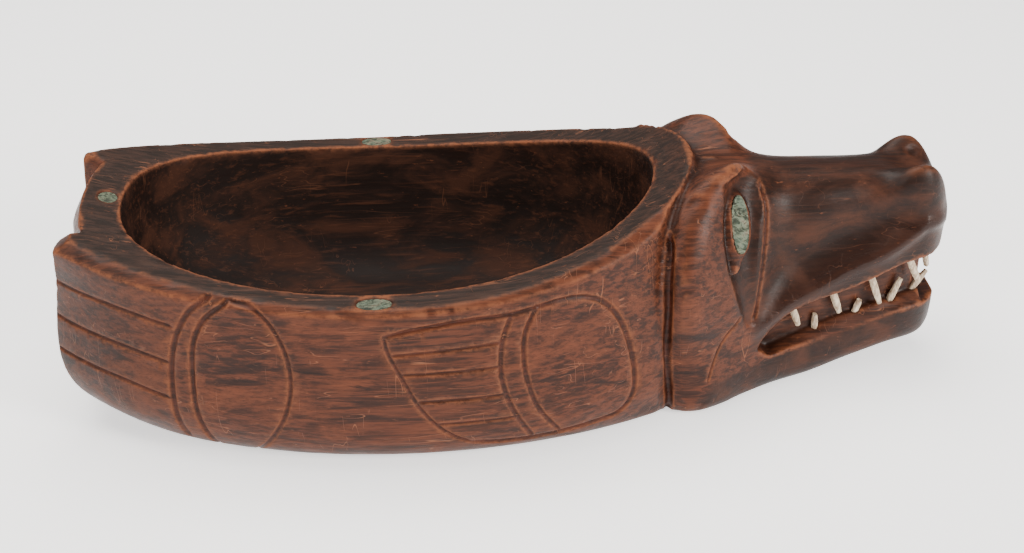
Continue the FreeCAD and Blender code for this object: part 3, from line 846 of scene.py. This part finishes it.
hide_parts("bowl_body")

# ---------------------------------------------------------------------------------------------
# Shell inlays
# Plates of sea-snail shell, ground flat and let into the rim and the eyes on a bed of pitch. Green
# and grey, with paler clouds and fine dark growth lines.
# ---------------------------------------------------------------------------------------------

shell, tree, shader = finish_named("abalone_shell")
layers = pattern(tree, (130, 260, 260), 3, 0.6, 2.2)
growth = lines_in(tree, pattern(tree, (110, 230, 230), 2, 0.55, 3.0), 0.035)
cloud = pattern(tree, (170, 170, 170), 2, 0.5, 1.0)
colour = blend(tree, ramp(tree, layers, 0.35, 0.62), tone(42, 48, 38), tone(92, 101, 80))
green = maths(tree, "MULTIPLY", ramp(tree, cloud, 0.54, 0.66), 0.5)
colour = blend(tree, green, colour, tone(76, 92, 78))
pale = maths(tree, "MULTIPLY", ramp(tree, cloud, 0.44, 0.34), 0.5)
colour = blend(tree, pale, colour, tone(122, 108, 88))
colour = blend(tree, maths(tree, "MULTIPLY", growth, 0.75), colour, tone(24, 25, 20))
tree.links.new(colour, shader.inputs["Base Color"])
tree.links.new(ramp(tree, layers, 0.3, 0.7, 0.18, 0.40), shader.inputs["Roughness"])
tree.links.new(bump(tree, layers, 0.4, 0.0003), shader.inputs["Normal"])
pitch, tree, shader = finish_named("spruce_pitch")
lumps = pattern(tree, (600, 600, 600), 3)
tree.links.new(blend(tree, lumps, tone(24, 17, 13), tone(66, 42, 30)), shader.inputs["Base Color"])
shader.inputs["Roughness"].default_value = 0.5
tree.links.new(bump(tree, lumps, 0.5, 0.0003), shader.inputs["Normal"])
for name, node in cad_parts.items():
    if name.endswith("_shell") or name.endswith("_pitch"):
        node.data.materials.clear()
        node.data.materials.append(shell if name.endswith("_shell") else pitch)

# ---------------------------------------------------------------------------------------------
# Teeth
# Eighteen pegs of split bone or pale wood, whittled to a slight taper, with blunt slanting ends,
# and driven into holes drilled in the gums. One peg is shaped, and each tooth is a worn copy of it.
# ---------------------------------------------------------------------------------------------

PEG_ROOT, PEG_END = 1.85, 1.5

bpy.ops.mesh.primitive_cylinder_add(vertices=20, radius=1, depth=1, end_fill_type="NGON")
peg = bpy.context.object
take_up(peg)
bpy.ops.object.mode_set(mode="EDIT")
bpy.ops.mesh.select_mode(type="FACE")
for height in (-0.4, -0.3, -0.2, -0.1, 0, 0.1, 0.2, 0.3, 0.38, 0.45):
    bpy.ops.mesh.select_all(action="SELECT")
    bpy.ops.mesh.bisect(plane_co=(0, 0, height), plane_no=(0, 0, 1))
bpy.ops.object.mode_set(mode="OBJECT")
for face in peg.data.polygons:
    face.select = abs(face.normal.z) > 0.9
bpy.ops.object.mode_set(mode="EDIT")
bpy.ops.mesh.inset(thickness=0.25)
bpy.ops.mesh.inset(thickness=0.35)
bpy.ops.object.mode_set(mode="OBJECT")
peg_form = np.array([corner.co[:] for corner in peg.data.vertices]) + [0, 0, 0.5]

bone, tree, shader = finish_named("pale_bone")
strands = pattern(tree, (900, 900, 260), 4, 0.6)
stain = pattern(tree, (260, 260, 260), 3, 0.6)
colour = blend(tree, ramp(tree, strands, 0.35, 0.7), tone(150, 128, 104), tone(206, 190, 166))
stained = maths(tree, "MULTIPLY", ramp(tree, stain, 0.55, 0.72), 0.5)
colour = blend(tree, stained, colour, tone(120, 88, 62))
tree.links.new(colour, shader.inputs["Base Color"])
shader.inputs["Roughness"].default_value = 0.62
tree.links.new(bump(tree, strands, 0.5, 0.0004), shader.inputs["Normal"])

for number, (name, node) in enumerate(sorted(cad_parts.items())):
    if not name.startswith("tooth_"):
        continue
    flat = np.array([corner.co[:] for corner in node.data.vertices]) / MM
    middle = flat.mean(axis=0)
    axis = np.linalg.svd(flat - middle, full_matrices=False)[2][0]
    along = (flat - middle) @ axis
    spread = np.linalg.norm(flat - middle - np.outer(along, axis), axis=1)
    if spread[along > along.max() - 0.5].max() > spread[along < along.min() + 0.5].max():
        axis, along = -axis, -along
    foot, length = middle + axis * along.min(), along.max() - along.min()
    turn = np.array(Vector(axis).to_track_quat("Z", "Y").to_matrix())
    chance = np.random.default_rng(number)
    form = peg_form.copy()
    knots = 0.10 * np.sin(form[:, 2] * 9 + chance.uniform(0, 6))
    width = PEG_ROOT + (PEG_END - PEG_ROOT) * form[:, 2] + knots
    oval = chance.uniform(0.86, 1.06)
    worn_end = smooth(0.8, 1.0, form[:, 2])
    round_it = np.arctan2(form[:, 1], form[:, 0])
    rough = 1 + 0.05 * np.sin(round_it * 5 + chance.uniform(0, 6) + form[:, 2] * 3)
    form[:, 0] *= width * oval * rough * (1 - 0.16 * worn_end)
    form[:, 1] *= width / oval * rough * (1 - 0.16 * worn_end)
    slant = chance.uniform(-0.25, 0.25, 2)
    form[:, 2] = form[:, 2] * length + worn_end * (form[:, 0] * slant[0] + form[:, 1] * slant[1]) * 1.5
    tooth = peg.copy()
    tooth.data = peg.data.copy()
    bpy.context.scene.collection.objects.link(tooth)
    tooth.name = "peg_" + name[6:]
    placed = form @ turn.T + foot
    placed[:, 0] = np.minimum(placed[:, 0], NOSE_TIP_X - 0.1)
    set_corners(tooth, placed)
    take_up(tooth)
    bpy.ops.object.shade_smooth_by_angle(angle=math.radians(40))
    tooth.data.materials.append(bone)
    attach(tooth, "root")
    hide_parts(name)
bpy.data.objects.remove(peg)
